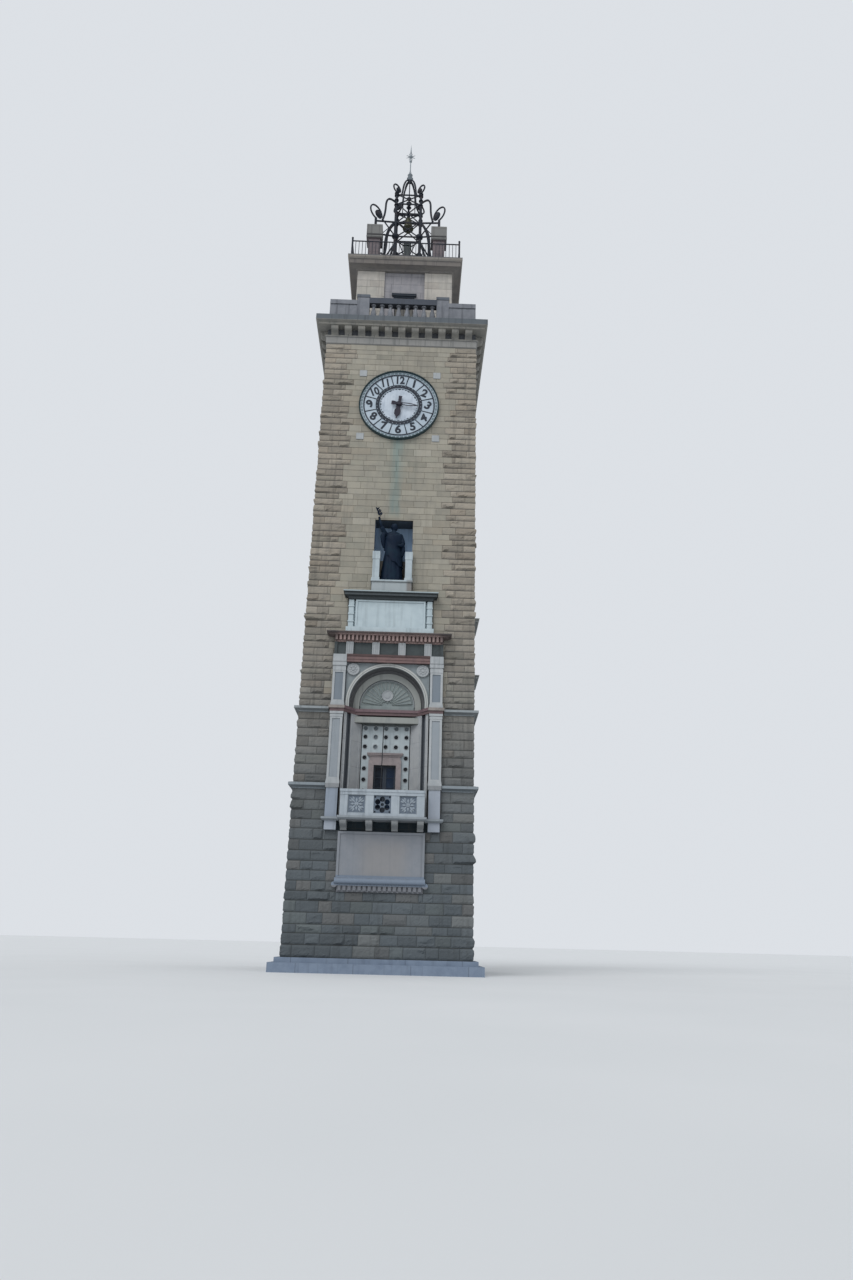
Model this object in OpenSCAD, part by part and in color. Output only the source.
// Stone clock and bell tower, a scale model at 1:2.
// Every size is half that of the full-size tower, in millimetres.
// Origin: centre of the base at ground level. +Z is up, and the clock faces -Y.

/* [Shaft] */
// Width of the square shaft
shaft_w = 3550; // [3500:10:3600]
// Thickness of the masonry walls
wall_t = 600; // [560:10:640]
// Width of the lower plinth step
plinth_w = 3970; // [3900:10:4050]
// Height of the lower plinth step
plinth_h = 170; // [120:10:180]
// Width of the upper plinth step
ledge_w = 3760; // [3700:10:3850]
// Top of the upper plinth step, where the masonry starts
wall_base_z = 260; // [240:10:300]
// Top of the walls, under the terrace slab
wall_top_z = 14450; // [14400:10:14500]
// Top of the terrace slab and of the main cornice
terrace_z = 14640; // [14620:5:14660]
// Thickness of the inner floors
floor_t = 150; // [120:10:200]

/* [String courses] */
// Underside of the lower string course
string_low_z = 3375; // [3360:5:3380]
// Height of the lower string course
string_low_h = 125; // [100:5:130]
// Height of the upper string course and of the red impost band
impost_h = 120; // [100:5:125]
// How far the string courses stand out
string_out = 95; // [70:5:120]

/* [Side windows] */
// Width of the window openings
window_w = 600; // [500:10:640]
// Sill level of the windows
window_z = 6200; // [6150:10:6250]
// Height of the window openings
window_h = 1150; // [1000:10:1200]
// How far the window hoods and sills stand out
window_out = 215; // [150:5:230]

/* [Lower panel] */
// Width of the bare lower panel
plaque_w = 1680; // [1600:10:1750]
// Underside of the bare field
plaque_z = 1720; // [1700:10:1740]
// Top of the bare field
plaque_top_z = 2560; // [2500:10:2570]
// Number of dentils under the sill
plaque_dentils = 17; // [11:2:21]

/* [Balcony] */
// Floor level of the balcony
balcony_z = 2820; // [2800:10:2840]
// Thickness of the balcony slab
balcony_t = 65; // [55:5:80]
// How far the balcony slab stands out
balcony_out = 400; // [360:10:430]
// Width of the parapet over its two end posts
parapet_w = 1625; // [1600:5:1640]
// Top of the parapet
parapet_z = 3330; // [3320:5:3350]
// Thickness of the parapet
parapet_t = 90; // [80:5:100]
// Width of the parapet's end posts
parapet_post = 150; // [140:5:160]
// Width of each parapet panel
parapet_panel = 335; // [320:5:345]

/* [Aedicule] */
// Width over the two pilasters
aedicule_w = 2256; // [2200:2:2300]
// Width of each pilaster
pilaster_w = 250; // [240:2:260]
// How far the pilasters stand out
pilaster_out = 120; // [100:5:130]
// Width of the flat back of the recess
recess_w = 1000; // [960:10:1040]
// Depth of the recess behind the wall face
recess_depth = 280; // [260:5:300]
// Springing level of the arch above the impost band
springing = 90; // [80:5:100]
// Radius of the open arch
arch_r = 770; // [755:5:775]
// Radius of the lunette at the back of the arch
lunette_r = 575; // [565:5:585]
// Underside of the red architrave
architrave_z = 5985; // [5985:5:6000]
// Height of the red architrave
architrave_h = 155; // [145:5:165]
// Height of the frieze
frieze_h = 275; // [265:5:285]
// Height of the crown cornice
crown_h = 195; // [185:5:205]
// Width of the door opening
door_w = 450; // [420:5:480]
// Height of the door opening
door_h = 1105; // [1080:5:1115]

/* [Inscription panel and niche] */
// Width over the bare inscription panel
panel_w = 1760; // [1700:5:1800]
// Underside of the panel's cornice
panel_top_z = 7380; // [7360:5:7400]
// Top of the panel's cornice
panel_cornice_z = 7545; // [7530:5:7560]
// Width of the statue's base
statue_base_w = 850; // [830:5:880]
// Foot of the niche and top of the statue's base
niche_z = 7820; // [7800:5:7840]
// Width of the niche
niche_w = 830; // [800:5:860]
// Height of the niche
niche_h = 1510; // [1480:5:1530]
// Depth of the niche
niche_depth = 400; // [380:5:420]

/* [Clock] */
// Height of the clock's centre
clock_z = 12310; // [12250:10:12400]
// Radius over the clock's rim
clock_r = 932; // [915:1:945]
// Length of the minute hand from its axis
minute_len = 430; // [380:5:760]
// Length of the hour hand from its axis
hour_len = 405; // [360:5:540]
// Minutes past the hour that the hands show at rest
rest_minutes = 16; // [0:1:59]
// Hour that the hands show at rest
rest_hour = 6; // [0:1:11]
// Radius of the bore in the hour hand's hub for the minute hand's arbor
arbor_bore_r = 20; // [19:1:22]

/* [Main cornice and balustrade] */
// Underside of the frieze band under the cornice
band_z = 13985; // [13965:5:14005]
// How far the cornice stands out
cornice_out = 272; // [250:2:290]
// Number of brackets on each side
brackets = 11; // [7:2:13]
// Height of the balustrade
balustrade_h = 675; // [650:5:700]
// Thickness of the balustrade
balustrade_t = 180; // [160:10:200]
// Number of balusters on each side
balusters = 8; // [6:1:9]

/* [Attic and upper terrace] */
// Width of the square attic
attic_w = 2410; // [2350:10:2450]
// Thickness of the attic's walls
attic_t = 300; // [250:10:320]
// Top of the attic's walls
attic_top_z = 16740; // [16720:5:16750]
// Width of the attic's cornice
attic_cornice_w = 2920; // [2900:5:2960]
// Level of the upper terrace
roof_z = 17050; // [17000:10:17100]
// Height of the iron railing
railing_h = 510; // [480:10:560]
// Distance of the railing from the cornice's edge
railing_inset = 85; // [75:5:110]
// Number of bars in each side of the railing
railing_bars = 31; // [15:2:33]

/* [Bell cage] */
// Distance of the corner piers' axes from the tower's axis, along X and Y
pier_at = 850; // [840:5:860]
// Width of the corner piers
pier_w = 305; // [295:5:320]
// Top of the corner piers' cap blocks
pier_top_z = 18465; // [18445:5:18475]
// Distance of the cage's posts from the tower's axis, along X and Y
post_at = 340; // [335:5:350]
// Half the width of a post over its flats
post_r = 38; // [34:1:42]
// Ring level where the wings' lower struts start
ring_d_z = 18785; // [18775:5:18795]
// Ring level where the wings' upper struts start
ring_c_z = 19285; // [19275:5:19295]
// Ring level that carries the bell
ring_b_z = 19945; // [19935:5:19955]
// Top ring level
ring_a_z = 20275; // [20265:5:20285]
// Underside of the ribs' crown
dome_top_z = 21180; // [21160:5:21200]
// Overall height of the tower
total_h = 22580; // [22500:10:22650]
// Radius of the bell's lip
bell_r = 150; // [140:2:170]
// Level of the bell's lip
bell_z = 19400; // [19385:5:19415]

/* [Hidden] */
$fn = 48;
face_y = -shaft_w / 2;
core_w = shaft_w - 2 * wall_t;
upper_floor_z = window_z - 500;
// Half the width between the pilasters, and the room beside them for their feet and caps
pocket_x = aedicule_w / 2 - pilaster_w - 10;
ledge_gap = 16;
pocket_depth = recess_depth + 40;
impost_z = string_low_z + string_low_h + 1430;
arch_z = impost_z + impost_h;
spring_z = arch_z + springing;
// How far the two tiers of the impost band stand out past the pilasters
impost_tiers = [18, 42];
// Backs of the arch's two steps behind the wall face
arch_step = 230;
lunette_back = 290;
// Plan of the splayed side of the recess, from its front edge to the screen
splay_front = [pocket_x - ledge_gap, face_y - 90];
splay_back = [recess_w / 2, face_y + recess_depth];
splay = splay_back - splay_front;
frieze_z = architrave_z + architrave_h;
frieze_out = pilaster_out - 30;
crown_z = frieze_z + frieze_h;
panel_z = crown_z + crown_h;
// Corbels under the balcony, and the feet of the pedestals beside them
corbel_w = 125;
corbel_h = 175;
slab_z = balcony_z - balcony_t;
// Levels of the clock's parts in front of the wall
rim_w = 34;
dial_t = 36;
dial_ring_t = 50;
hand_t = 14;
hour_out = 82;
minute_out = 110;
hand_tube_r = 32;
dial_hole_r = hand_tube_r + 10;
attic_y = -attic_w / 2;
attic_door_w = 480;
attic_door_h = 1280;
cap_w = pier_w + 115;
cap_neck_w = cap_w - 60;
cap_z = pier_top_z - 460;
// Cage planes at 45 degrees: distances of the posts and the piers from the axis
post_s = post_at * sqrt(2);
pier_s = pier_at * sqrt(2);
knob_r = 88;
collar_r = 62;
collar_h = 24;
post_top_z = ring_a_z + 40;
collar_levels = [ring_b_z - 60, ring_b_z + 110, ring_a_z - 50, post_top_z - 12];
iron_t = 30;
// Fine joint between pieces that stand on each other
fine_joint = 0.5;
big = 9000;

// Half width of the recess between its splays, at depth y
function splay_x(y) = splay_front[0] + splay[0] * (y - splay_front[1]) / splay[1];

// A box between two corners
module box(x0, x1, y0, y1, z0, z1) {
    translate([x0, y0, z0]) cube([x1 - x0, y1 - y0, z1 - z0]);
}

// A square box round the tower's axis
module square_box(w, z0, z1) {
    box(-w / 2, w / 2, -w / 2, w / 2, z0, z1);
}

// A block on the front face: its width, how far it stands out, and its levels
module on_face(w, out, z0, z1, x = 0) {
    box(x - w / 2, x + w / 2, face_y - out, face_y, z0, z1);
}

// Both side outlines of a moulding, closed over its half width
function outline(half, profile) = concat(
    [for (p = profile) [half + p[0], p[1]]],
    [for (i = [len(profile) - 1 : -1 : 0]) [-half - profile[i][0], profile[i][1]]]
);

// A rectangular block whose four sides carry one profile of [out, z] points
module moulded_block(w, d, profile) {
    intersection() {
        rotate([90, 0, 0]) linear_extrude(2 * big, center = true)
            polygon(outline(w / 2, profile));
        rotate([90, 0, 90]) linear_extrude(2 * big, center = true)
            polygon(outline(d / 2, profile));
    }
}

// A moulding on the front face with its ends returned to the wall
module face_moulding(w, out, profile, y = face_y) {
    translate([0, y, 0]) intersection() {
        moulded_block(w, 2 * out, profile);
        translate([-big, -big, 0]) cube([2 * big, big, 3 * big]);
    }
}

// Cornice profile: fillet, hollow, upright face and a rolled top edge
function cornice_profile(out, z, h, steps = 4) = concat(
    [[0, z], [out * 0.12, z], [out * 0.12, z + h * 0.12]],
    [for (i = [1 : steps]) let (a = 90 * i / steps)
        [out * (0.12 + 0.4 * (1 - cos(a))), z + h * (0.12 + 0.28 * sin(a))]],
    [[out * 0.78, z + h * 0.4], [out * 0.78, z + h * 0.7]],
    [for (i = [1 : steps]) let (a = 90 * i / steps)
        [out * (0.78 + 0.22 * sin(a)), z + h * (0.7 + 0.18 * (1 - cos(a)))]],
    [[out, z + h]]
);

// String course profile: a hollow under a square nose with a sloped top
function string_profile(out, z, h, steps = 4) = concat(
    [[0, z]],
    [for (i = [1 : steps]) let (a = 90 * i / steps)
        [out * (1 - cos(a)), z + h * 0.45 * sin(a)]],
    [[out, z + h * 0.85], [out * 0.3, z + h]]
);

// Points of a cubic curve
function curve(a, b, c, d, n = 8) = [for (i = [0 : n]) let (t = i / n, u = 1 - t)
    u * u * u * a + 3 * u * u * t * b + 3 * u * t * t * c + t * t * t * d];

// Unit normal of a path at point i
function normal(path, i) =
    let (p = path[max(i - 1, 0)], q = path[min(i + 1, len(path) - 1)], v = q - p)
    [-v[1], v[0]] / norm(v);

// Flat strap of width w along a path
module strap(path, w) {
    polygon(concat(
        [for (i = [0 : len(path) - 1]) path[i] + normal(path, i) * w / 2],
        [for (i = [len(path) - 1 : -1 : 0]) path[i] - normal(path, i) * w / 2]
    ));
}

// Stands an outline drawn in [distance, z] up in a vertical plane, t thick
module upright(t) {
    rotate([90, 0, 0]) linear_extrude(t, center = true) children();
}

// Four copies in the diagonal planes of the tower
module diagonals() {
    for (a = [45 : 90 : 315]) rotate(a) children();
}

// Cuts a ring round the tower at its mitres and keeps the front and back
module mitred_front_back(reach) {
    intersection() {
        children();
        linear_extrude(3 * big) for (s = [-1, 1])
            polygon([[0, 0], [s * reach, -reach], [s * -reach, -reach]]
                    * (s > 0 ? 1 : -1));
    }
}

module plinth() {
    color("lightslategray") {
        square_box(plinth_w, 0, plinth_h);
        square_box(ledge_w, plinth_h, wall_base_z);
    }
}

module wall_front_lower() {
    color("dimgray") box(-shaft_w / 2, shaft_w / 2, face_y, face_y + wall_t,
                         wall_base_z, slab_z);
}

// Wall piers beside the recess, and the thinner wall behind it with the doorway
module wall_front_recess() {
    color("dimgray") difference() {
        box(-shaft_w / 2, shaft_w / 2, face_y, face_y + wall_t, slab_z, architrave_z);
        box(-pocket_x, pocket_x, face_y - 1, face_y + pocket_depth, balcony_z, architrave_z + 1);
        box(-door_w / 2, door_w / 2, face_y, face_y + wall_t + 1, balcony_z, balcony_z + door_h);
    }
}

module wall_front_upper() {
    color("gray") difference() {
        box(-shaft_w / 2, shaft_w / 2, face_y, face_y + wall_t, architrave_z, wall_top_z);
        box(-niche_w / 2, niche_w / 2, face_y - 1, face_y + niche_depth,
            niche_z, niche_z + niche_h);
    }
}

// Wall with one window, its outer face on y = 0
module window_wall(w) {
    difference() {
        box(-w / 2, w / 2, 0, wall_t, wall_base_z, wall_top_z);
        box(-window_w / 2, window_w / 2, -1, wall_t + 1, window_z, window_z + window_h);
    }
}

module wall_back() {
    color("gray") rotate(180) translate([0, face_y, 0]) window_wall(shaft_w);
}

module wall_sides() {
    color("gray") for (a = [90, -90]) rotate(a) translate([0, face_y, 0]) window_wall(core_w);
}

module inner_floors() {
    color("silver") for (z = [balcony_z, upper_floor_z]) square_box(core_w, z - floor_t, z);
}

module terrace_slab() {
    color("silver") square_box(shaft_w, wall_top_z, terrace_z);
}

// Moulded course round the shaft, cut away over the aedicule's width
module string_ring(z, h, cut_x) {
    difference() {
        moulded_block(shaft_w, shaft_w, string_profile(string_out, z, h));
        square_box(shaft_w, z - 1, z + h + 1);
        box(-cut_x, cut_x, face_y - big, face_y + 10, z - 1, z + h + 1);
    }
}

module string_courses() {
    color("lightslategray") {
        string_ring(string_low_z, string_low_h, aedicule_w / 2 + ledge_gap);
        string_ring(impost_z, impost_h, aedicule_w / 2 + impost_tiers[1] + 2);
    }
}

// Hood, jambs and sill of one window, outside the front face
module window_surround() {
    jamb = 100;
    jamb_out = 60;
    hood_h = 140;
    sill_h = 120;
    bracket_w = 90;
    bracket_h = 210;
    bracket_out = 130;
    top = window_z + window_h;
    w = window_w + 2 * jamb;
    ledge = window_out - jamb_out;
    face_moulding(w, jamb_out, cornice_profile(ledge, top + jamb_out, hood_h));
    on_face(w, jamb_out, top, top + jamb_out);
    face_moulding(w, jamb_out, cornice_profile(ledge, window_z - sill_h, sill_h));
    for (s = [-1, 1]) {
        on_face(jamb, jamb_out, window_z, top, s * (window_w + jamb) / 2);
        on_face(bracket_w, bracket_out, window_z - sill_h - bracket_h, window_z - sill_h,
                s * window_w * 0.42);
    }
}

module window_surrounds() {
    color("darkgray") for (a = [90, 180, 270]) rotate(a) window_surround();
}

// Casement of two lights, set halfway through the wall
module window_casement() {
    frame = 50;
    stile = 40;
    pane_sunk = 15;
    light_w = window_w / 2 - 2 * stile;
    y = face_y + wall_t / 2;
    difference() {
        box(-window_w / 2, window_w / 2, y, y + stile, window_z, window_z + window_h);
        for (s = [-1, 1]) translate([s * window_w / 4, 0, 0])
            box(-light_w / 2, light_w / 2, y - 1, y + pane_sunk,
                window_z + frame, window_z + window_h - frame);
    }
}

module windows() {
    color("darkslategray") for (a = [90, 180, 270]) rotate(a) window_casement();
}

// Bare raised field on a rounded sill with a dentil row and end scrolls
module lower_plaque() {
    field_out = 55;
    border = 45;
    border_out = 75;
    sill_h = 170;
    roll_r = 65;
    scroll_r = 55;
    scroll_out = 90;
    bed_out = 35;
    bed_h = 110;
    dentil_h = 85;
    dentil_out = 70;
    sill_z = plaque_z - sill_h;
    pitch = (plaque_w - 60) / plaque_dentils;
    color("lightsteelblue") {
        on_face(plaque_w, field_out, plaque_z, plaque_top_z);
        on_face(plaque_w, border_out, plaque_top_z - border, plaque_top_z);
        on_face(plaque_w, border_out + 5, sill_z, plaque_z);
        translate([0, face_y - roll_r, plaque_z - sill_h / 2]) rotate([0, 90, 0])
            cylinder(h = plaque_w + 40, r = roll_r, center = true);
        for (s = [-1, 1]) {
            on_face(border, border_out, plaque_z, plaque_top_z, s * (plaque_w - border) / 2);
            translate([s * (plaque_w / 2 + 20), face_y, sill_z + 20]) rotate([90, 0, 0])
                cylinder(h = scroll_out, r = scroll_r);
        }
        on_face(plaque_w - 40, bed_out, sill_z - bed_h, sill_z);
        for (i = [0 : plaque_dentils - 1])
            on_face(pitch * 0.62, dentil_out, sill_z - dentil_h, sill_z,
                    (i - (plaque_dentils - 1) / 2) * pitch);
    }
}

// Scrolled bracket, its back on the wall and its top at z = 0
module corbel(w, out, h) {
    points = concat([[0, 0], [-out, 0], [-out, -h * 0.25]],
                    curve([-out, -h * 0.25], [-out * 0.9, -h * 0.8], [-out * 0.35, -h * 0.45],
                          [-out * 0.22, -h], 8),
                    [[0, -h]]);
    rotate([90, 0, 90]) linear_extrude(w, center = true) polygon(points);
}

module balcony_slab() {
    pitch = 495;
    nose = 60;
    pedestal_ledge = 55;
    edge = [[-30, slab_z], [0, slab_z + balcony_t * 0.45], [0, balcony_z]];
    color("lightgray") {
        face_moulding(parapet_w + 90, balcony_out, edge);
        face_moulding(aedicule_w + 2 * pedestal_ledge, pilaster_out + pedestal_ledge, edge);
        for (i = [-1.5 : 1 : 1.5]) translate([i * pitch, face_y, slab_z])
            corbel(corbel_w, balcony_out - nose, corbel_h);
    }
}

// Tracery panel: a plate pierced by a ring of lobes round a small middle eye
module tracery(w, h, t) {
    lobes = 6;
    lobe_r = w * 0.155;
    corner_r = w * 0.05;
    ring_r = w * 0.31;
    corner_at = w * 0.42;
    difference() {
        box(-w / 2, w / 2, -t / 2, t / 2, 0, h);
        translate([0, 0, h / 2]) {
            for (a = [0 : 360 / lobes : 359]) rotate([0, a, 0]) translate([0, 0, ring_r])
                rotate([90, 0, 0]) cylinder(h = 2 * t, r = lobe_r, center = true);
            rotate([90, 0, 0]) cylinder(h = 2 * t, r = lobe_r * 0.6, center = true);
            for (sx = [-1, 1], sz = [-1, 1]) translate([sx * corner_at, 0, sz * corner_at])
                rotate([90, 0, 0]) cylinder(h = 2 * t, r = corner_r, center = true);
        }
    }
}

module balcony_parapet() {
    rail = 110;
    coping = 50;
    rail_lip = 10;
    base = 56;
    base_lip = 8;
    panel_sunk = 25;
    tracery_t = 45;
    mid_post = (parapet_w - 2 * parapet_post - 3 * parapet_panel) / 2;
    front = face_y - balcony_out + 40;
    back = front + parapet_t;
    x_end = parapet_w / 2;
    panel_x = parapet_panel + mid_post;
    z0 = balcony_z + base;
    z1 = parapet_z - rail;
    color("gainsboro") {
        box(-x_end, x_end, front - base_lip, back, balcony_z, z0);
        box(-x_end, x_end, front - base_lip, back, z1, parapet_z - coping);
        box(-x_end - rail_lip, x_end + rail_lip, front - base_lip - rail_lip, back + rail_lip,
            parapet_z - coping, parapet_z);
        for (s = [0, 1]) mirror([s, 0, 0]) {
            box(x_end - parapet_post, x_end, front, back, z0, z1);
            box(parapet_panel / 2, parapet_panel / 2 + mid_post, front, back, z0, z1);
            box(panel_x - parapet_panel / 2, panel_x + parapet_panel / 2,
                front + panel_sunk, back - 15, z0, z1);
            box(x_end - parapet_t, x_end, back, face_y - pilaster_out - 2 * ledge_gap,
                balcony_z, parapet_z);
        }
        translate([0, front + parapet_t / 2, z0]) tracery(parapet_panel, z1 - z0, tracery_t);
    }
}

// Pilaster with a sunk field, a stepped foot and a stepped cap
module pilaster(x, w, out, z0, z1, foot, cap) {
    border = 45;
    sunk = 14;
    margin = 40;
    difference() {
        on_face(w, out, z0, z1, x);
        translate([x, face_y - out, 0])
            box(-w / 2 + border, w / 2 - border, -1, sunk, z0 + foot + margin, z1 - cap - margin);
    }
    on_face(w + 24, out + 12, z0, z0 + foot * 0.6, x);
    on_face(w + 12, out + 6, z0 + foot * 0.6, z0 + foot, x);
    on_face(w + 12, out + 6, z1 - cap, z1 - cap * 0.6, x);
    on_face(w + 28, out + 14, z1 - cap * 0.45, z1, x);
}

// Pilasters beside the recess, on pedestals that flank the parapet
module lower_pilasters() {
    x = (aedicule_w - pilaster_w) / 2;
    pedestal_w = pilaster_w - 20;
    cap_out = 30;
    cap_z0 = string_low_z + 15;
    cap_z1 = string_low_z + 90;
    color("lightgray") for (s = [-1, 1]) {
        on_face(pedestal_w, pilaster_out - 10, slab_z - corbel_h, slab_z, s * x);
        on_face(pedestal_w, pilaster_out + 10, balcony_z, cap_z0, s * x);
        on_face(pilaster_w + 16, pilaster_out + cap_out, cap_z0, cap_z1, s * x);
        pilaster(s * x, pilaster_w, pilaster_out, cap_z1, impost_z, 90, 110);
    }
}

// Splayed side of the recess, with an upright shadow slit
module splayed_jambs() {
    slit_depth = 70;
    slit = [splay_front + splay * 0.16, splay_front + splay * 0.38];
    inward = [-splay[1], splay[0]] / norm(splay) * slit_depth;
    plan = [splay_front, slit[0], slit[0] - inward, slit[1] - inward, slit[1], splay_back,
            [pocket_x, face_y + recess_depth], [pocket_x, face_y], [splay_front[0], face_y]];
    color("lightgray") for (s = [0, 1]) mirror([s, 0, 0])
        translate([0, 0, balcony_z]) linear_extrude(impost_z - balcony_z) polygon(plan);
}

// Marble back of the recess, with sunk round eyes and a plain lintel beam
module recess_screen() {
    y0 = face_y + recess_depth;
    y1 = face_y + pocket_depth;
    eye_r = 40;
    eye_depth = 26;
    eye_rows = [impost_z - 625, impost_z - 420, impost_z - 240];
    eye_pitch = 210;
    side_eye_pitch = 225;
    beam_out = 160;
    beam_h = 130;
    beam_z = impost_z - 170;
    beam_end = 3;
    beam_plan = [for (y = [y0, y0 - beam_out]) [splay_x(y) - beam_end, y]];
    color("whitesmoke") {
        difference() {
            box(-pocket_x, pocket_x, y0, y1, balcony_z, impost_z);
            box(-door_w / 2, door_w / 2, y0 - 1, y1 + 1, balcony_z, balcony_z + door_h);
            for (z = eye_rows, i = [-2 : 2])
                translate([i * eye_pitch, y0 + eye_depth, z]) rotate([90, 0, 0])
                    cylinder(h = 40, r = eye_r);
            for (i = [1 : 5], s = [-2, 2])
                translate([s * eye_pitch, y0 + eye_depth, eye_rows[0] - i * side_eye_pitch])
                    rotate([90, 0, 0]) cylinder(h = 40, r = eye_r);
        }
        translate([0, 0, beam_z]) linear_extrude(beam_h)
            polygon([beam_plan[0], beam_plan[1], [-beam_plan[1][0], beam_plan[1][1]],
                     [-beam_plan[0][0], beam_plan[0][1]]]);
    }
}

// Marble frame of the balcony door, under a small cornice
module door_surround() {
    y0 = face_y + recess_depth;
    jamb = 105;
    jamb_out = 45;
    frieze = 70;
    ledge = 38;
    top = balcony_z + door_h;
    w = door_w + 2 * jamb;
    color("rosybrown") {
        difference() {
            box(-w / 2, w / 2, y0 - jamb_out, y0, balcony_z, top + jamb);
            box(-door_w / 2, door_w / 2, y0 - jamb_out - 1, y0 + 1, balcony_z - 1, top);
        }
        box(-w / 2 + 20, w / 2 - 20, y0 - jamb_out + 15, y0, top + jamb, top + jamb + frieze);
        face_moulding(w, jamb_out - 5, cornice_profile(ledge, top + jamb + frieze, frieze), y0);
    }
}

// Two leaves, each a frame round a sunk pane and a sunk lower panel
module door_leaves() {
    y0 = face_y + pocket_depth + 20;
    gap = 3;
    leaf = door_w / 2 - gap;
    leaf_t = 36;
    stile = 34;
    h = door_h - 2 * gap;
    panel_top = 230;
    color("darkslategray") for (s = [-1, 1])
        translate([s * (leaf + gap) / 2, 0, balcony_z]) difference() {
            box(-leaf / 2, leaf / 2, y0, y0 + leaf_t, 0, h);
            box(-leaf / 2 + stile, leaf / 2 - stile, y0 - 1, y0 + 14, panel_top + 30, h - stile);
            box(-leaf / 2 + stile, leaf / 2 - stile, y0 - 1, y0 + 8, stile, panel_top);
        }
}

// Plan of the red band, which follows the pilasters, the splays and the recess
module impost_plan(out) {
    middle_y = face_y + 160;
    nose_y = face_y - pilaster_out - out;
    back_y = middle_y - out;
    side = [aedicule_w / 2 + out, pocket_x - out * 0.5, splay_x(back_y) - out * 0.3];
    half = [[side[2], back_y], [side[1], nose_y], [side[0], nose_y], [side[0], face_y],
            [pocket_x, face_y], [pocket_x, face_y + pocket_depth]];
    polygon(concat(half, [for (i = [len(half) - 1 : -1 : 0]) [-half[i][0], half[i][1]]]));
}

module impost_band() {
    tier_h = impost_h / 2;
    color("rosybrown") for (i = [0, 1])
        translate([0, 0, impost_z + i * tier_h]) linear_extrude(tier_h)
            impost_plan(impost_tiers[i]);
}

// Round bar or disc that faces the front
module facing_disc(x, z, r, y0, y1) {
    translate([x, y1, z]) rotate([90, 0, 0]) cylinder(h = y1 - y0, r = r, $fn = 64);
}

// Spandrel block with the stepped arch, its raised rings and two roundels
module arch_surround() {
    front = face_y - 40;
    step_y = face_y + arch_step;
    back_y = face_y + lunette_back;
    ring_w = 70;
    ring_out = 28;
    inner_ring_w = 125;
    inner_ring_out = 40;
    roundel_r = 130;
    roundel_out = 24;
    roundel_x = pocket_x - roundel_r - 22;
    roundel_z = architrave_z - roundel_r - 15;
    color("lightgray") {
        difference() {
            union() {
                box(-pocket_x, pocket_x, face_y, face_y + pocket_depth, arch_z, architrave_z);
                box(-pocket_x + ledge_gap, pocket_x - ledge_gap, front, face_y, arch_z, architrave_z);
                facing_disc(0, spring_z, arch_r + ring_w, front - ring_out, front);
                for (s = [-1, 1])
                    facing_disc(s * roundel_x, roundel_z, roundel_r, front - roundel_out, front);
            }
            facing_disc(0, spring_z, arch_r, front - 60, step_y);
            facing_disc(0, spring_z, lunette_r, front - 60, back_y);
            box(-arch_r, arch_r, front - 60, step_y, arch_z - 1, spring_z);
            box(-lunette_r, lunette_r, step_y - 1, back_y, arch_z - 1, spring_z);
            box(-big, big, front - 60, front, 0, arch_z);
            box(-big, big, front - 60, front, architrave_z, big);
        }
        difference() {
            facing_disc(0, spring_z, lunette_r + inner_ring_w, step_y - inner_ring_out, step_y);
            facing_disc(0, spring_z, lunette_r, step_y - inner_ring_out - 1, step_y + 1);
            box(-lunette_r, lunette_r, step_y - inner_ring_out - 1, step_y + 1, 0, spring_z);
            box(-big, big, step_y - inner_ring_out - 1, step_y + 1, 0, arch_z);
        }
    }
}

// Half-round panel with a plain boss and a fan of ribs
module lunette() {
    panel_t = 30;
    y1 = face_y + lunette_back;
    y0 = y1 - panel_t;
    boss_z = spring_z + 235;
    boss_r = 120;
    boss_out = 40;
    ribs = 13;
    rib_from = 250;
    rib_len = 260;
    rib_r = [10, 24];
    first_rib = 12;
    foot_z = spring_z + 20;
    color("darkseagreen") {
        intersection() {
            union() {
                facing_disc(0, spring_z, lunette_r, y0, y1);
                box(-lunette_r, lunette_r, y0, y1, arch_z, spring_z);
            }
            box(-big, big, y0 - 1, y1 + 1, arch_z, architrave_z);
        }
        facing_disc(0, boss_z, boss_r, y0 - boss_out, y0);
        for (i = [0 : ribs - 1]) let (a = first_rib + i * (180 - 2 * first_rib) / (ribs - 1))
            translate([0, y0, foot_z]) rotate([0, -a, 0]) translate([rib_from, 0, 0])
                rotate([0, 90, 0]) cylinder(h = rib_len, r1 = rib_r[0], r2 = rib_r[1], $fn = 24);
        box(-lunette_r + 5, lunette_r - 5, y0 - boss_out + 5, y0, arch_z, foot_z);
    }
}

module upper_pilasters() {
    w = pilaster_w + 8;
    x = (aedicule_w - w) / 2;
    color("lightgray") for (s = [-1, 1]) {
        pilaster(s * x, w, pilaster_out, arch_z, architrave_z, 80, 190);
        on_face(w + 20, pilaster_out + 26, architrave_z, frieze_z, s * x);
    }
}

// Red beam of three steps, between the blocks over the pilasters
module architrave() {
    z = architrave_z;
    h = architrave_h;
    profile = [[0, z], [0, z + h * 0.35], [10, z + h * 0.35], [10, z + h * 0.72],
               [24, z + h * 0.78], [44, z + h], [0, z + h]];
    x = aedicule_w / 2 - pilaster_w - 20;
    color("rosybrown") intersection() {
        face_moulding(aedicule_w, pilaster_out + 6, profile);
        box(-x, x, face_y - big, face_y, z, z + h);
    }
}

// Dark wall of the frieze, with narrow upright strips at its two ends
module frieze() {
    end_w = 60;
    color("darkslategray") {
        on_face(aedicule_w, frieze_out, frieze_z, crown_z);
        for (s = [-1, 1])
            on_face(end_w, pilaster_out, frieze_z, crown_z, s * (aedicule_w - end_w) / 2);
    }
}

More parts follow.
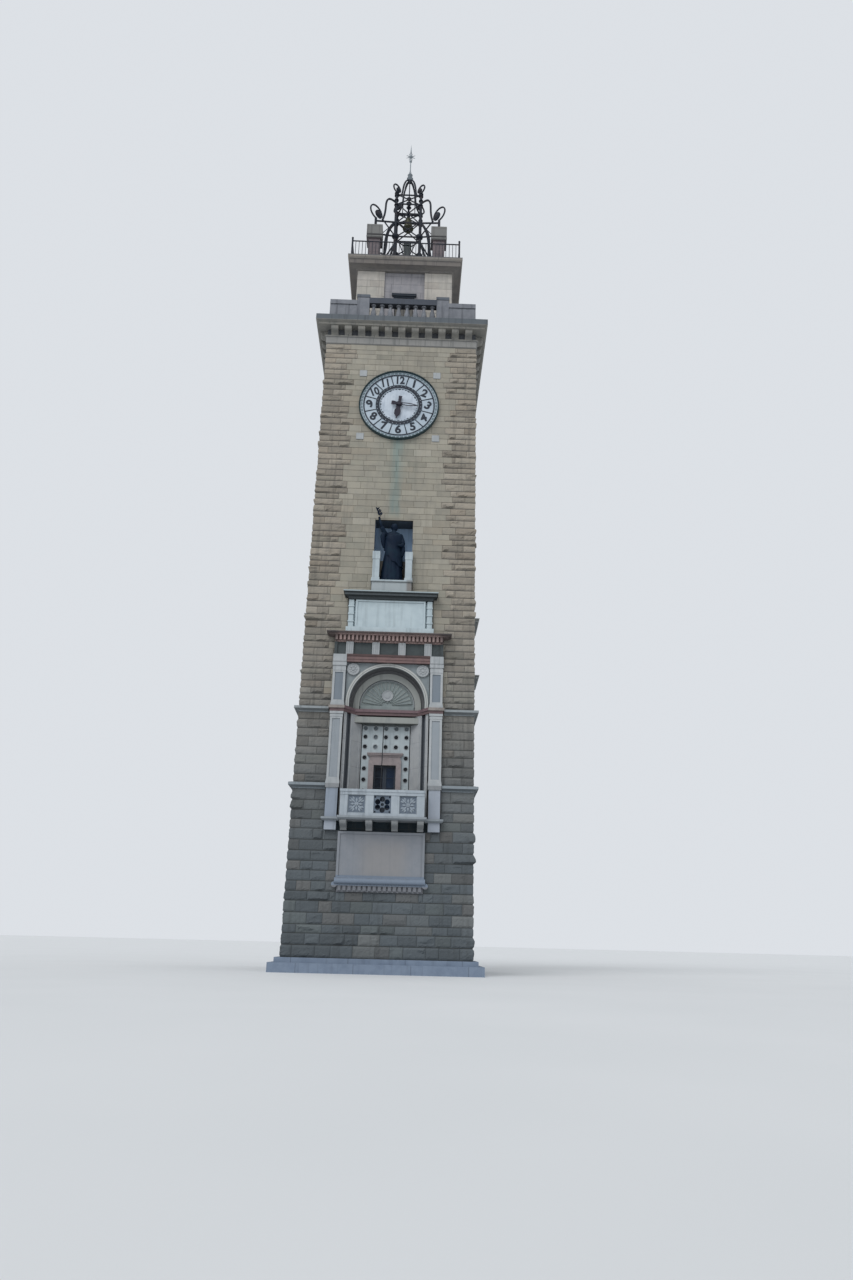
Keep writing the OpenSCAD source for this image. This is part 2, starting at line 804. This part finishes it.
// Fluted upright blocks on the frieze
module frieze_blocks() {
    pitch = 540;
    block_w = 150;
    block_out = 55;
    flute_w = 16;
    flute_depth = 10;
    flute_margin = 30;
    color("gainsboro") for (i = [-1.5 : 1 : 1.5]) difference() {
        translate([0, -frieze_out - fine_joint, 0])
            on_face(block_w, block_out, frieze_z + fine_joint, crown_z - fine_joint, i * pitch);
        for (s = [-1 : 1]) translate([i * pitch + s * block_w * 0.3, 0, 0])
            box(-flute_w / 2, flute_w / 2, face_y - frieze_out - block_out - 5,
                face_y - frieze_out - block_out - fine_joint + flute_depth,
                frieze_z + flute_margin, crown_z - flute_margin);
    }
}

// Crown cornice with a row of dentils under its face
module crown_cornice() {
    z = crown_z;
    h = crown_h;
    dentils = 27;
    dentil_out = 85;
    face_out = 105;
    nose_out = 168;
    steps = 4;
    pitch = aedicule_w / dentils;
    profile = concat([[0, z], [0, z + h * 0.68], [face_out, z + h * 0.68], [face_out, z + h * 0.78]],
                     [for (i = [1 : steps]) let (a = 90 * i / steps)
                        [face_out + (nose_out - face_out) * sin(a),
                         z + h * (0.78 + 0.12 * (1 - cos(a)))]],
                     [[nose_out, z + h * 0.96], [60, z + h]]);
    color("indianred") {
        face_moulding(aedicule_w, pilaster_out, profile);
        for (i = [0 : dentils - 1])
            on_face(pitch * 0.55, pilaster_out + dentil_out, z + h * 0.12, z + h * 0.68,
                    (i - (dentils - 1) / 2) * pitch);
    }
}

// Bare panel between small ringed side posts, under a weathered cornice
module inscription_panel() {
    base_h = 130;
    base_out = 175;
    post = 105;
    post_out = 105;
    ring_h = 28;
    ring_out = 118;
    ring_pitch = 170;
    gap = 40;
    border = 45;
    border_out = 112;
    field_out = 95;
    field = panel_w / 2 - post - gap;
    post_x = (panel_w - post) / 2;
    z0 = panel_z + base_h;
    color("gainsboro") {
        on_face(panel_w + 75, base_out, panel_z, z0);
        on_face(2 * field, field_out, z0, panel_top_z);
        on_face(2 * field, border_out, z0, z0 + border);
        on_face(2 * field, border_out, panel_top_z - border, panel_top_z);
        for (s = [-1, 1]) {
            on_face(post, post_out, z0, panel_top_z, s * post_x);
            on_face(2 * gap, gap, z0, panel_top_z, s * (field + gap));
            on_face(gap, border_out, z0, panel_top_z, s * (field - gap / 2));
            for (z = [z0 + 130 : ring_pitch : panel_top_z - 90])
                on_face(post + 22, ring_out, z, z + ring_h, s * post_x);
        }
        face_moulding(panel_w, ring_out,
                      cornice_profile(122, panel_top_z, panel_cornice_z - panel_top_z));
    }
}

// Base of the figure, with a post at each side of it
module statue_base() {
    base_out = 165;
    lip = 20;
    lip_h = 45;
    post = 148;
    post_out = 150;
    post_top = niche_z + 680;
    foot_h = 60;
    head_h = 185;
    x = (statue_base_w - post) / 2;
    color("whitesmoke") {
        on_face(statue_base_w, base_out, panel_cornice_z, niche_z - lip_h);
        on_face(statue_base_w + 2 * lip, base_out + lip, niche_z - lip_h, niche_z);
        for (s = [-1, 1]) {
            on_face(post, post_out, niche_z, post_top - head_h, s * x);
            on_face(post + 26, post_out + 13, niche_z, niche_z + foot_h, s * x);
            on_face(post + 16, post_out + 8, post_top - head_h, post_top, s * x);
        }
    }
}

// Cylinder between two points, with slightly fuller round ends
module limb(a, b, r) {
    v = b - a;
    translate(a) rotate([0, acos(v[2] / norm(v)), atan2(v[1], v[0])])
        cylinder(h = norm(v), r = r, $fn = 16);
    for (p = [a, b]) translate(p) sphere(r = r * 1.12, $fn = 16);
}

// Draped standing figure with one arm raised
module statue() {
    y = face_y + 70;
    neck_z = 1285;
    head_r = 80;
    arm_r = 44;
    shoulder = [135, y, niche_z + 1180];
    elbow_up = [-250, face_y - 70, shoulder[2] + 130];
    hand_up = [-330, face_y - 130, shoulder[2] + 480];
    elbow_down = [215, y - 60, shoulder[2] - 230];
    hand_down = [150, y - 170, shoulder[2] - 330];
    drape = [[0, 0], [215, 0], [215, 60], [195, 120], [175, 330], [150, 610], [135, 760],
             [158, 930], [168, 1040], [150, 1140], [74, 1215], [50, 1250], [50, neck_z],
             [0, neck_z]];
    color("darkslategray") {
        translate([0, y, niche_z]) rotate_extrude($fn = 40) polygon(drape);
        translate([0, y - 10, niche_z + neck_z + 65]) sphere(r = head_r, $fn = 32);
        limb([-shoulder[0], shoulder[1], shoulder[2]], elbow_up, arm_r);
        limb(elbow_up, hand_up, arm_r - 10);
        limb(shoulder, elbow_down, arm_r);
        limb(elbow_down, hand_down, arm_r - 8);
    }
}

// Revolves a profile of [radius, out] points about the clock's axis
module clock_turned(profile) {
    translate([0, face_y, clock_z]) rotate([90, 0, 0]) rotate_extrude($fn = 96) polygon(profile);
}

module clock_rim() {
    r = clock_r;
    out = 92;
    color("cadetblue") clock_turned([[r - rim_w, 0], [r, 0], [r, out * 0.49], [r - 7, out - 12],
                                     [r - 17, out], [r - 27, out - 12], [r - rim_w, out - 40]]);
}

// Plate of the dial with two raised rings and the opening for the hands' tube
module clock_dial() {
    r = clock_r - rim_w;
    outer_ring = [clock_r * 0.86, clock_r * 0.89];
    inner_ring = [clock_r * 0.47, clock_r * 0.58];
    color("whitesmoke") clock_turned([
        [dial_hole_r, 0], [r, 0], [r, dial_t + 4], [outer_ring[1], dial_t + 4],
        [outer_ring[1], dial_ring_t], [outer_ring[0], dial_ring_t], [outer_ring[0], dial_t],
        [inner_ring[1], dial_t], [inner_ring[1], dial_ring_t], [inner_ring[0], dial_ring_t],
        [inner_ring[0], dial_t], [dial_hole_r, dial_t]]);
}

// Flat hand that points up, drawn in [x, z], turned clockwise by the dial's angle
module hand_plate(angle, out) {
    translate([0, face_y - out + hand_t, clock_z]) rotate([0, angle, 0]) rotate([90, 0, 0])
        linear_extrude(hand_t) children();
}

// Broad spade-shaped hand with a square tail, on a tube that runs into the dial
module hour_hand() {
    l = hour_len;
    tail = 220;
    back = face_y - hour_out + hand_t;
    angle = 30 * rest_hour + rest_minutes / 2;
    color("midnightblue") difference() {
        union() {
            hand_plate(angle, hour_out)
                polygon([[-40, -tail], [40, -tail], [30, -80], [46, 0], [50, l * 0.32],
                         [74, l * 0.46], [66, l * 0.68], [24, l * 0.8], [0, l],
                         [-24, l * 0.8], [-66, l * 0.68], [-74, l * 0.46], [-50, l * 0.32],
                         [-46, 0], [-30, -80]]);
            facing_disc(0, clock_z, 74, face_y - hour_out, back);
            facing_disc(0, clock_z, hand_tube_r, back, face_y - 20);
        }
        facing_disc(0, clock_z, arbor_bore_r, face_y - hour_out - 5, face_y);
    }
}

// Open hand of two slim bars that meet at the tip, with a paddle-shaped tail
module minute_hand() {
    l = minute_len;
    tail = 175;
    arbor_r = 12;
    hub_r = 42;
    bar_w = 14;
    back = face_y - minute_out + hand_t;
    color("midnightblue") {
        hand_plate(6 * rest_minutes, minute_out) {
            for (s = [0, 1]) mirror([s, 0]) {
                strap(curve([14, 30], [36, l * 0.35], [36, l * 0.6], [6, l * 0.93], 10), bar_w);
                polygon([[0, 0], [16, 0], [52, -tail * 0.75], [44, -tail], [0, -tail]]);
            }
            polygon([[-15, l * 0.88], [15, l * 0.88], [0, l]]);
        }
        facing_disc(0, clock_z, hub_r, face_y - minute_out - 8, back);
        facing_disc(0, clock_z, arbor_r, back, face_y - 20);
    }
}

// Band, curved brackets and projecting crown round the head of the shaft
module cornice_ring() {
    bracket_z = band_z + 215;
    bracket_w = 168;
    bracket_gap = 85;
    soffit_z = wall_top_z - 50;
    crown_z0 = wall_top_z + 5;
    pitch = (shaft_w - 350) / (brackets - 1);
    difference() {
        union() {
            moulded_block(shaft_w, shaft_w, [[0, band_z], [28, band_z + 20], [28, bracket_z - 30],
                          [52, bracket_z - 22], [52, bracket_z + 8], [0, bracket_z + 8]]);
            moulded_block(shaft_w, shaft_w, [[0, bracket_z], [0, soffit_z],
                          [cornice_out - 60, soffit_z], [cornice_out - 60, crown_z0],
                          [cornice_out - 38, crown_z0 + 8], [cornice_out - 10, crown_z0 + 28],
                          [cornice_out, crown_z0 + 32], [cornice_out, terrace_z]]);
            for (a = [0 : 90 : 270], i = [0 : brackets - 1]) rotate(a)
                translate([(i - (brackets - 1) / 2) * pitch, face_y, soffit_z])
                    corbel(bracket_w, cornice_out - bracket_gap, soffit_z - bracket_z);
        }
        square_box(shaft_w, band_z - 1, terrace_z + 1);
    }
}

module main_cornice_front_back() {
    color("slategray") mitred_front_back(shaft_w) cornice_ring();
}

module main_cornice_sides() {
    color("slategray") rotate(90) mitred_front_back(shaft_w) cornice_ring();
}

// One side of the balustrade, w long: balusters between piers, with solid ends
module balustrade_side(w) {
    z = terrace_z;
    top = z + balustrade_h;
    pier_in = 820;
    pier_out = 1118;
    coping_h = 125;
    coping_lip = 12;
    pier_coping_h = 80;
    plinth_top = z + 110;
    rail_z = top - 75;
    pier_top = top + 90;
    pitch = 2 * pier_in / balusters;
    y0 = face_y;
    y1 = face_y + balustrade_t;
    for (s = [0, 1]) mirror([s, 0, 0]) {
        box(pier_out, w / 2, y0 + 20, y1 - 10, z, top - coping_h);
        box(pier_out, w / 2, y0, y1, top - coping_h, top);
        box(pier_in, pier_out, y0, y1, z, pier_top);
        box(pier_in - coping_lip, pier_out + coping_lip, y0 - coping_lip, y1 + coping_lip,
            pier_top, pier_top + pier_coping_h);
    }
    box(-pier_in, pier_in, y0 + 10, y1 - 10, z, plinth_top);
    box(-pier_in, pier_in, y0, y1, rail_z, pier_top);
    for (i = [0 : balusters - 1])
        translate([(i - (balusters - 1) / 2) * pitch, (y0 + y1) / 2, plinth_top])
            rotate_extrude($fn = 24) polygon([[0, 0], [66, 0], [66, 40], [42, 60], [62, 130],
                [70, 200], [58, 290], [36, 380], [36, 430], [60, 455],
                [60, rail_z - plinth_top], [0, rail_z - plinth_top]]);
}

module balustrade_front_back() {
    color("slategray") for (a = [0, 180]) rotate(a) balustrade_side(shaft_w);
}

module balustrade_sides() {
    color("slategray") for (a = [90, 270]) rotate(a)
        balustrade_side(shaft_w - 2 * balustrade_t);
}

// Attic box with a sunk panel on each side and the terrace doorway in front
module attic_walls() {
    panel_x = 510;
    panel_sunk = 40;
    color("darkgray") difference() {
        square_box(attic_w, terrace_z, attic_top_z);
        square_box(attic_w - 2 * attic_t, terrace_z - 1, attic_top_z + 1);
        for (a = [0 : 90 : 270]) rotate(a)
            box(-panel_x, panel_x, attic_y - 1, attic_y + panel_sunk, terrace_z - 1, attic_top_z + 1);
        box(-attic_door_w / 2, attic_door_w / 2, attic_y, attic_y + attic_t + 1,
            terrace_z - 1, terrace_z + attic_door_h);
    }
}

// Plain leaf in the terrace doorway, under a small hood
module attic_door() {
    y = attic_y + 40;
    leaf_y = y + 60;
    leaf_t = 40;
    hood_z = terrace_z + attic_door_h + 30;
    color("slategray") {
        box(-attic_door_w / 2, attic_door_w / 2, leaf_y, leaf_y + leaf_t,
            terrace_z, terrace_z + attic_door_h);
        face_moulding(attic_door_w + 30, 20, cornice_profile(60, hood_z, 95), y);
    }
}

// Roof slab with the cornice profile on its four sides
module attic_cornice() {
    out = (attic_cornice_w - attic_w) / 2;
    z = attic_top_z;
    steps = 4;
    color("silver") moulded_block(attic_w, attic_w, concat(
        [[0, z], [30, z], [30, z + 20]],
        [for (i = [1 : steps]) let (a = 90 * i / steps)
            [30 + 70 * (1 - cos(a)), z + 20 + 30 * sin(a)]],
        [[out - 40, z + 60], [out - 40, z + 185], [out - 20, z + 195], [out, z + 240],
         [out, roof_z]]));
}

// One side of the railing, w long
module railing_side(w, posts) {
    y = -attic_cornice_w / 2 + railing_inset;
    rail_h = 26;
    rail_r = 9;
    bar_r = 7;
    post_r = 22;
    ball_r = 28;
    foot = 50;
    top = roof_z + railing_h;
    pitch = w / (railing_bars + 1);
    for (z = [roof_z + foot, top - rail_h]) box(-w / 2, w / 2, y - rail_r, y + rail_r, z, z + rail_h);
    for (i = [1 : railing_bars]) translate([i * pitch - w / 2, y, 0])
        box(-bar_r, bar_r, -bar_r, bar_r, roof_z, top);
    if (posts) for (s = [-1, 1]) translate([s * w / 2, y, 0]) {
        box(-post_r, post_r, -post_r, post_r, roof_z, top + 60);
        translate([0, 0, top + 80]) sphere(r = ball_r, $fn = 24);
    }
}

module railing_front_back() {
    w = attic_cornice_w - 2 * railing_inset;
    color("black") for (a = [0, 180]) rotate(a) railing_side(w, true);
}

module railing_sides() {
    w = attic_cornice_w - 2 * railing_inset - 44;
    color("black") for (a = [90, 270]) rotate(a) railing_side(w, false);
}

// Corner piers with moulded cap blocks
module bell_piers() {
    foot_h = 140;
    color("dimgray") for (x = [-pier_at, pier_at], y = [-pier_at, pier_at]) translate([x, y, 0]) {
        square_box(pier_w + 40, roof_z, roof_z + foot_h);
        square_box(pier_w, roof_z + foot_h, cap_z);
        moulded_block(cap_neck_w, cap_neck_w, [
            [-30, cap_z], [14, cap_z + 22], [30, cap_z + 48], [30, cap_z + 76], [12, cap_z + 90],
            [12, cap_z + 108], [27, cap_z + 118], [27, pier_top_z - 12], [18, pier_top_z]]);
    }
}

// Scroll: an open ring that ends in a disc on its inner side
module scroll(s, z, r, disc_r) {
    ring_r = r - 16;
    from = -95;
    to = 190;
    steps = 24;
    ring = [for (i = [0 : steps]) let (a = from + i * (to - from) / steps)
        [s, z] + ring_r * [cos(a), sin(a)]];
    strap(ring, 34);
    translate([s - ring_r + disc_r * 0.9, z - 8]) circle(r = disc_r);
}

// Knob at the lower ring and collars higher up, round a post that stands at x = y = 0
module post_rings(grow = 0) {
    translate([0, 0, ring_d_z]) sphere(r = knob_r + grow, $fn = 32);
    for (z = collar_levels) translate([0, 0, z - grow])
        cylinder(h = collar_h + 2 * grow, r = collar_r + grow);
}

// Eight-sided posts with knobs, collars and a small scroll on top
module cage_posts() {
    flat_r = post_r / cos(22.5);
    stem_top = post_top_z + 60;
    foot_r = 75;
    foot_h = 45;
    color("black") diagonals() {
        translate([post_s, 0, 0]) rotate(45) {
            translate([0, 0, roof_z]) rotate(22.5)
                cylinder(h = post_top_z - roof_z, r = flat_r, $fn = 8);
            translate([0, 0, roof_z]) cylinder(h = foot_h, r = foot_r);
            post_rings();
        }
        upright(iron_t) {
            strap([[post_s, post_top_z], [post_s, stem_top]], 40);
            scroll(post_s, stem_top + 125, 145, 78);
        }
    }
}

// Flat lattice between two posts: ring bars, crossed braces and a plate round each knob
module cage_side() {
    x = post_at - post_r;
    levels = [roof_z, ring_d_z, ring_c_z, ring_b_z, ring_a_z];
    ring_bar_w = 34;
    brace_w = 22;
    gusset_r = knob_r + 26;
    foot_clear = 76;
    difference() {
        translate([0, -post_at, 0]) upright(26) {
            for (i = [1 : 4]) strap([[-x, levels[i]], [x, levels[i]]], ring_bar_w);
            intersection() {
                for (s = [-1, 1]) translate([s * post_at, ring_d_z]) circle(r = gusset_r);
                translate([-x, roof_z]) square([2 * x, ring_a_z - roof_z]);
            }
            for (i = [0 : 3]) for (s = [-1, 1]) intersection() {
                strap([[-s * x, levels[i]], [s * x, levels[i + 1]]], brace_w);
                translate([-x, roof_z]) square([2 * x, ring_a_z - roof_z]);
            }
        }
        for (s = [-1, 1]) translate([s * post_at, -post_at, 0]) {
            post_rings(1);
            translate([0, 0, roof_z - 1]) cylinder(h = 47, r = foot_clear);
        }
    }
}

module cage_front_back() {
    color("black") for (a = [0, 180]) rotate(a) cage_side();
}

module cage_sides() {
    color("black") for (a = [90, 270]) rotate(a) cage_side();
}

// One wing in a diagonal plane: curved leg, two struts, shoulder bracket and pier scroll
module wing() {
    s0 = post_s + post_r;
    scroll_z = pier_top_z + 625;
    cap_s = (pier_at - cap_neck_w / 2 - 1) * sqrt(2);
    leg_s = 840;
    leg_w = 62;
    bracket_w = 46;
    brace_w = 20;
    shoulder = [868, ring_c_z + 295];
    difference() {
        upright(iron_t) difference() {
            union() {
                strap([[s0, ring_c_z - 30], [pier_s + 15, pier_top_z + 310]], 38);
                strap([[s0, ring_d_z - 24], [cap_s + 95, pier_top_z - 20]], 34);
                strap([[s0, ring_c_z - 60], [cap_s + 40, pier_top_z + 20]], brace_w);
                strap([[s0, ring_d_z + 20], [cap_s, ring_c_z - 275]], brace_w);
                strap(curve([s0 - 10, ring_c_z - 40], [s0 + 160, ring_c_z - 265],
                            [leg_s - 5, pier_top_z + 150], [leg_s, cap_z + 100], 12), leg_w);
                strap([[leg_s, cap_z + 100], [leg_s + 12, roof_z]], leg_w);
                strap(curve([s0 - 20, ring_b_z + 20], [s0 + 190, ring_b_z + 50],
                            shoulder + [-6, 310], shoulder, 12), bracket_w);
                strap(curve(shoulder, shoulder + [4, -260], [915, scroll_z + 45],
                            [968, scroll_z - 100], 8), bracket_w);
                strap([[pier_s, pier_top_z], [pier_s, scroll_z - 195]], 64);
                scroll(pier_s, scroll_z, 220, 122);
            }
            translate([-100, roof_z - 1000]) square([100 + s0, 6000]);
            translate([cap_s - 50, roof_z - 1000]) square([2000, pier_top_z - roof_z + 1000]);
            translate([-100, roof_z - 1000]) square([2000, 1000]);
        }
        translate([post_s, 0, 0]) post_rings(1);
    }
    translate([pier_s, 0, pier_top_z]) rotate(45) cylinder(h = 70, r = 90, $fn = 4);
}

module cage_wings() {
    color("black") diagonals() wing();
}

// Curved ribs from the post heads to the crown, and slimmer ones from the cross beams
module cage_dome() {
    s0 = post_s - post_r - 25;
    rib_w = 40;
    waist = [250, ring_a_z + 405];
    hub_r = 60;
    inner_w = 22;
    inner_foot = [176, ring_b_z + 17 + fine_joint];
    inner_waist = [134, ring_a_z + 560];
    color("black") {
        diagonals() upright(iron_t) intersection() {
            union() {
                strap(curve([s0 + 10, ring_a_z + 15], [270, ring_a_z + 110],
                            waist + [22, -150], waist, 10), rib_w);
                strap(curve(waist, waist + [-14, 160], [150, dome_top_z + 10],
                            [0, dome_top_z - 10], 10), rib_w);
            }
            translate([0, ring_a_z - 100]) square([s0, dome_top_z - ring_a_z + 100]);
        }
        translate([0, 0, dome_top_z - hub_r]) cylinder(h = hub_r, r = hub_r);
        for (a = [0 : 90 : 270]) rotate(a) upright(inner_w) intersection() {
            union() {
                strap(curve(inner_foot - [0, 5], inner_foot + [-6, 300],
                            inner_waist + [16, -300], inner_waist, 8), inner_w);
                strap(curve(inner_waist, inner_waist + [-8, 150], [90, dome_top_z - 20],
                            [0, dome_top_z - 30], 8), inner_w);
            }
            translate([0, inner_foot[1]]) square([pier_at, dome_top_z - inner_foot[1]]);
        }
    }
}

// Leaf cups, rod, rayed star and spike
module finial() {
    z = dome_top_z + fine_joint;
    star_z = 22100;
    star_r = 46;
    rays = 8;
    ray_len = 135;
    color("black") {
        translate([0, 0, z]) rotate_extrude($fn = 32) polygon([
            [0, 0], [45, 0], [92, 70], [40, 95], [30, 150], [72, 205], [28, 232], [34, 300],
            [20, 340], [15, 420], [14, 700], [36, 725], [36, 770], [14, 795],
            [14, star_z - z + 100], [24, star_z - z + 120], [0, total_h - z]]);
        translate([0, 0, star_z]) {
            sphere(r = star_r, $fn = 24);
            for (i = [0 : rays - 1]) rotate([0, 22.5 + i * 360 / rays, 0])
                cylinder(h = ray_len, r1 = 17, r2 = 5, $fn = 16);
        }
    }
}

// Bell with its true flared wall and a closed head
module bell() {
    r = bell_r;
    h = 370;
    color("darkolivegreen") translate([0, 0, bell_z]) {
        rotate_extrude($fn = 64) polygon([
            [r - 22, 0], [r, 0], [r, 14], [r * 0.86, 60], [r * 0.72, 130], [r * 0.65, 220],
            [r * 0.6, 300], [r * 0.46, 350], [0, h], [0, h - 30], [r * 0.38, 322],
            [r * 0.46, 290], [r * 0.52, 220], [r * 0.59, 130], [r * 0.72, 60]]);
        translate([0, 0, h - 8]) cylinder(h = 38, r = 34);
    }
}

// Cross beams at the bell's ring level, with the turned stem above them
module bell_yoke() {
    x = post_at - 13;
    beam_r = 24;
    hanger_z = bell_z + 400;
    color("black") {
        for (a = [0, 90]) rotate(a)
            box(-x, x, -beam_r, beam_r, ring_b_z - 48, ring_b_z + 17);
        translate([0, 0, hanger_z]) cylinder(h = ring_b_z - hanger_z, r = 46);
        translate([0, 0, ring_b_z]) rotate_extrude($fn = 32) polygon([
            [0, 0], [48, 0], [48, 60], [24, 90], [24, 170], [70, 230], [30, 262], [30, 330],
            [82, 380], [26, 420], [26, 520], [70, 560], [0, 640]]);
    }
}

// Low square post in the middle of the cage's floor
module centre_post() {
    w = 180;
    head_w = 220;
    head_h = 80;
    head_z = ring_d_z - 60;
    color("darkslategray") {
        square_box(w, roof_z, head_z);
        square_box(head_w, head_z, head_z + head_h);
    }
}

plinth();
wall_front_lower();
wall_front_recess();
wall_front_upper();
wall_back();
wall_sides();
inner_floors();
terrace_slab();
string_courses();
window_surrounds();
windows();
lower_plaque();
balcony_slab();
balcony_parapet();
lower_pilasters();
splayed_jambs();
recess_screen();
door_surround();
door_leaves();
impost_band();
arch_surround();
lunette();
upper_pilasters();
architrave();
frieze();
frieze_blocks();
crown_cornice();
inscription_panel();
statue_base();
statue();
clock_rim();
clock_dial();
hour_hand();
minute_hand();
main_cornice_front_back();
main_cornice_sides();
balustrade_front_back();
balustrade_sides();
attic_walls();
attic_door();
attic_cornice();
railing_front_back();
railing_sides();
bell_piers();
cage_posts();
cage_front_back();
cage_sides();
cage_wings();
cage_dome();
finial();
bell();
bell_yoke();
centre_post();
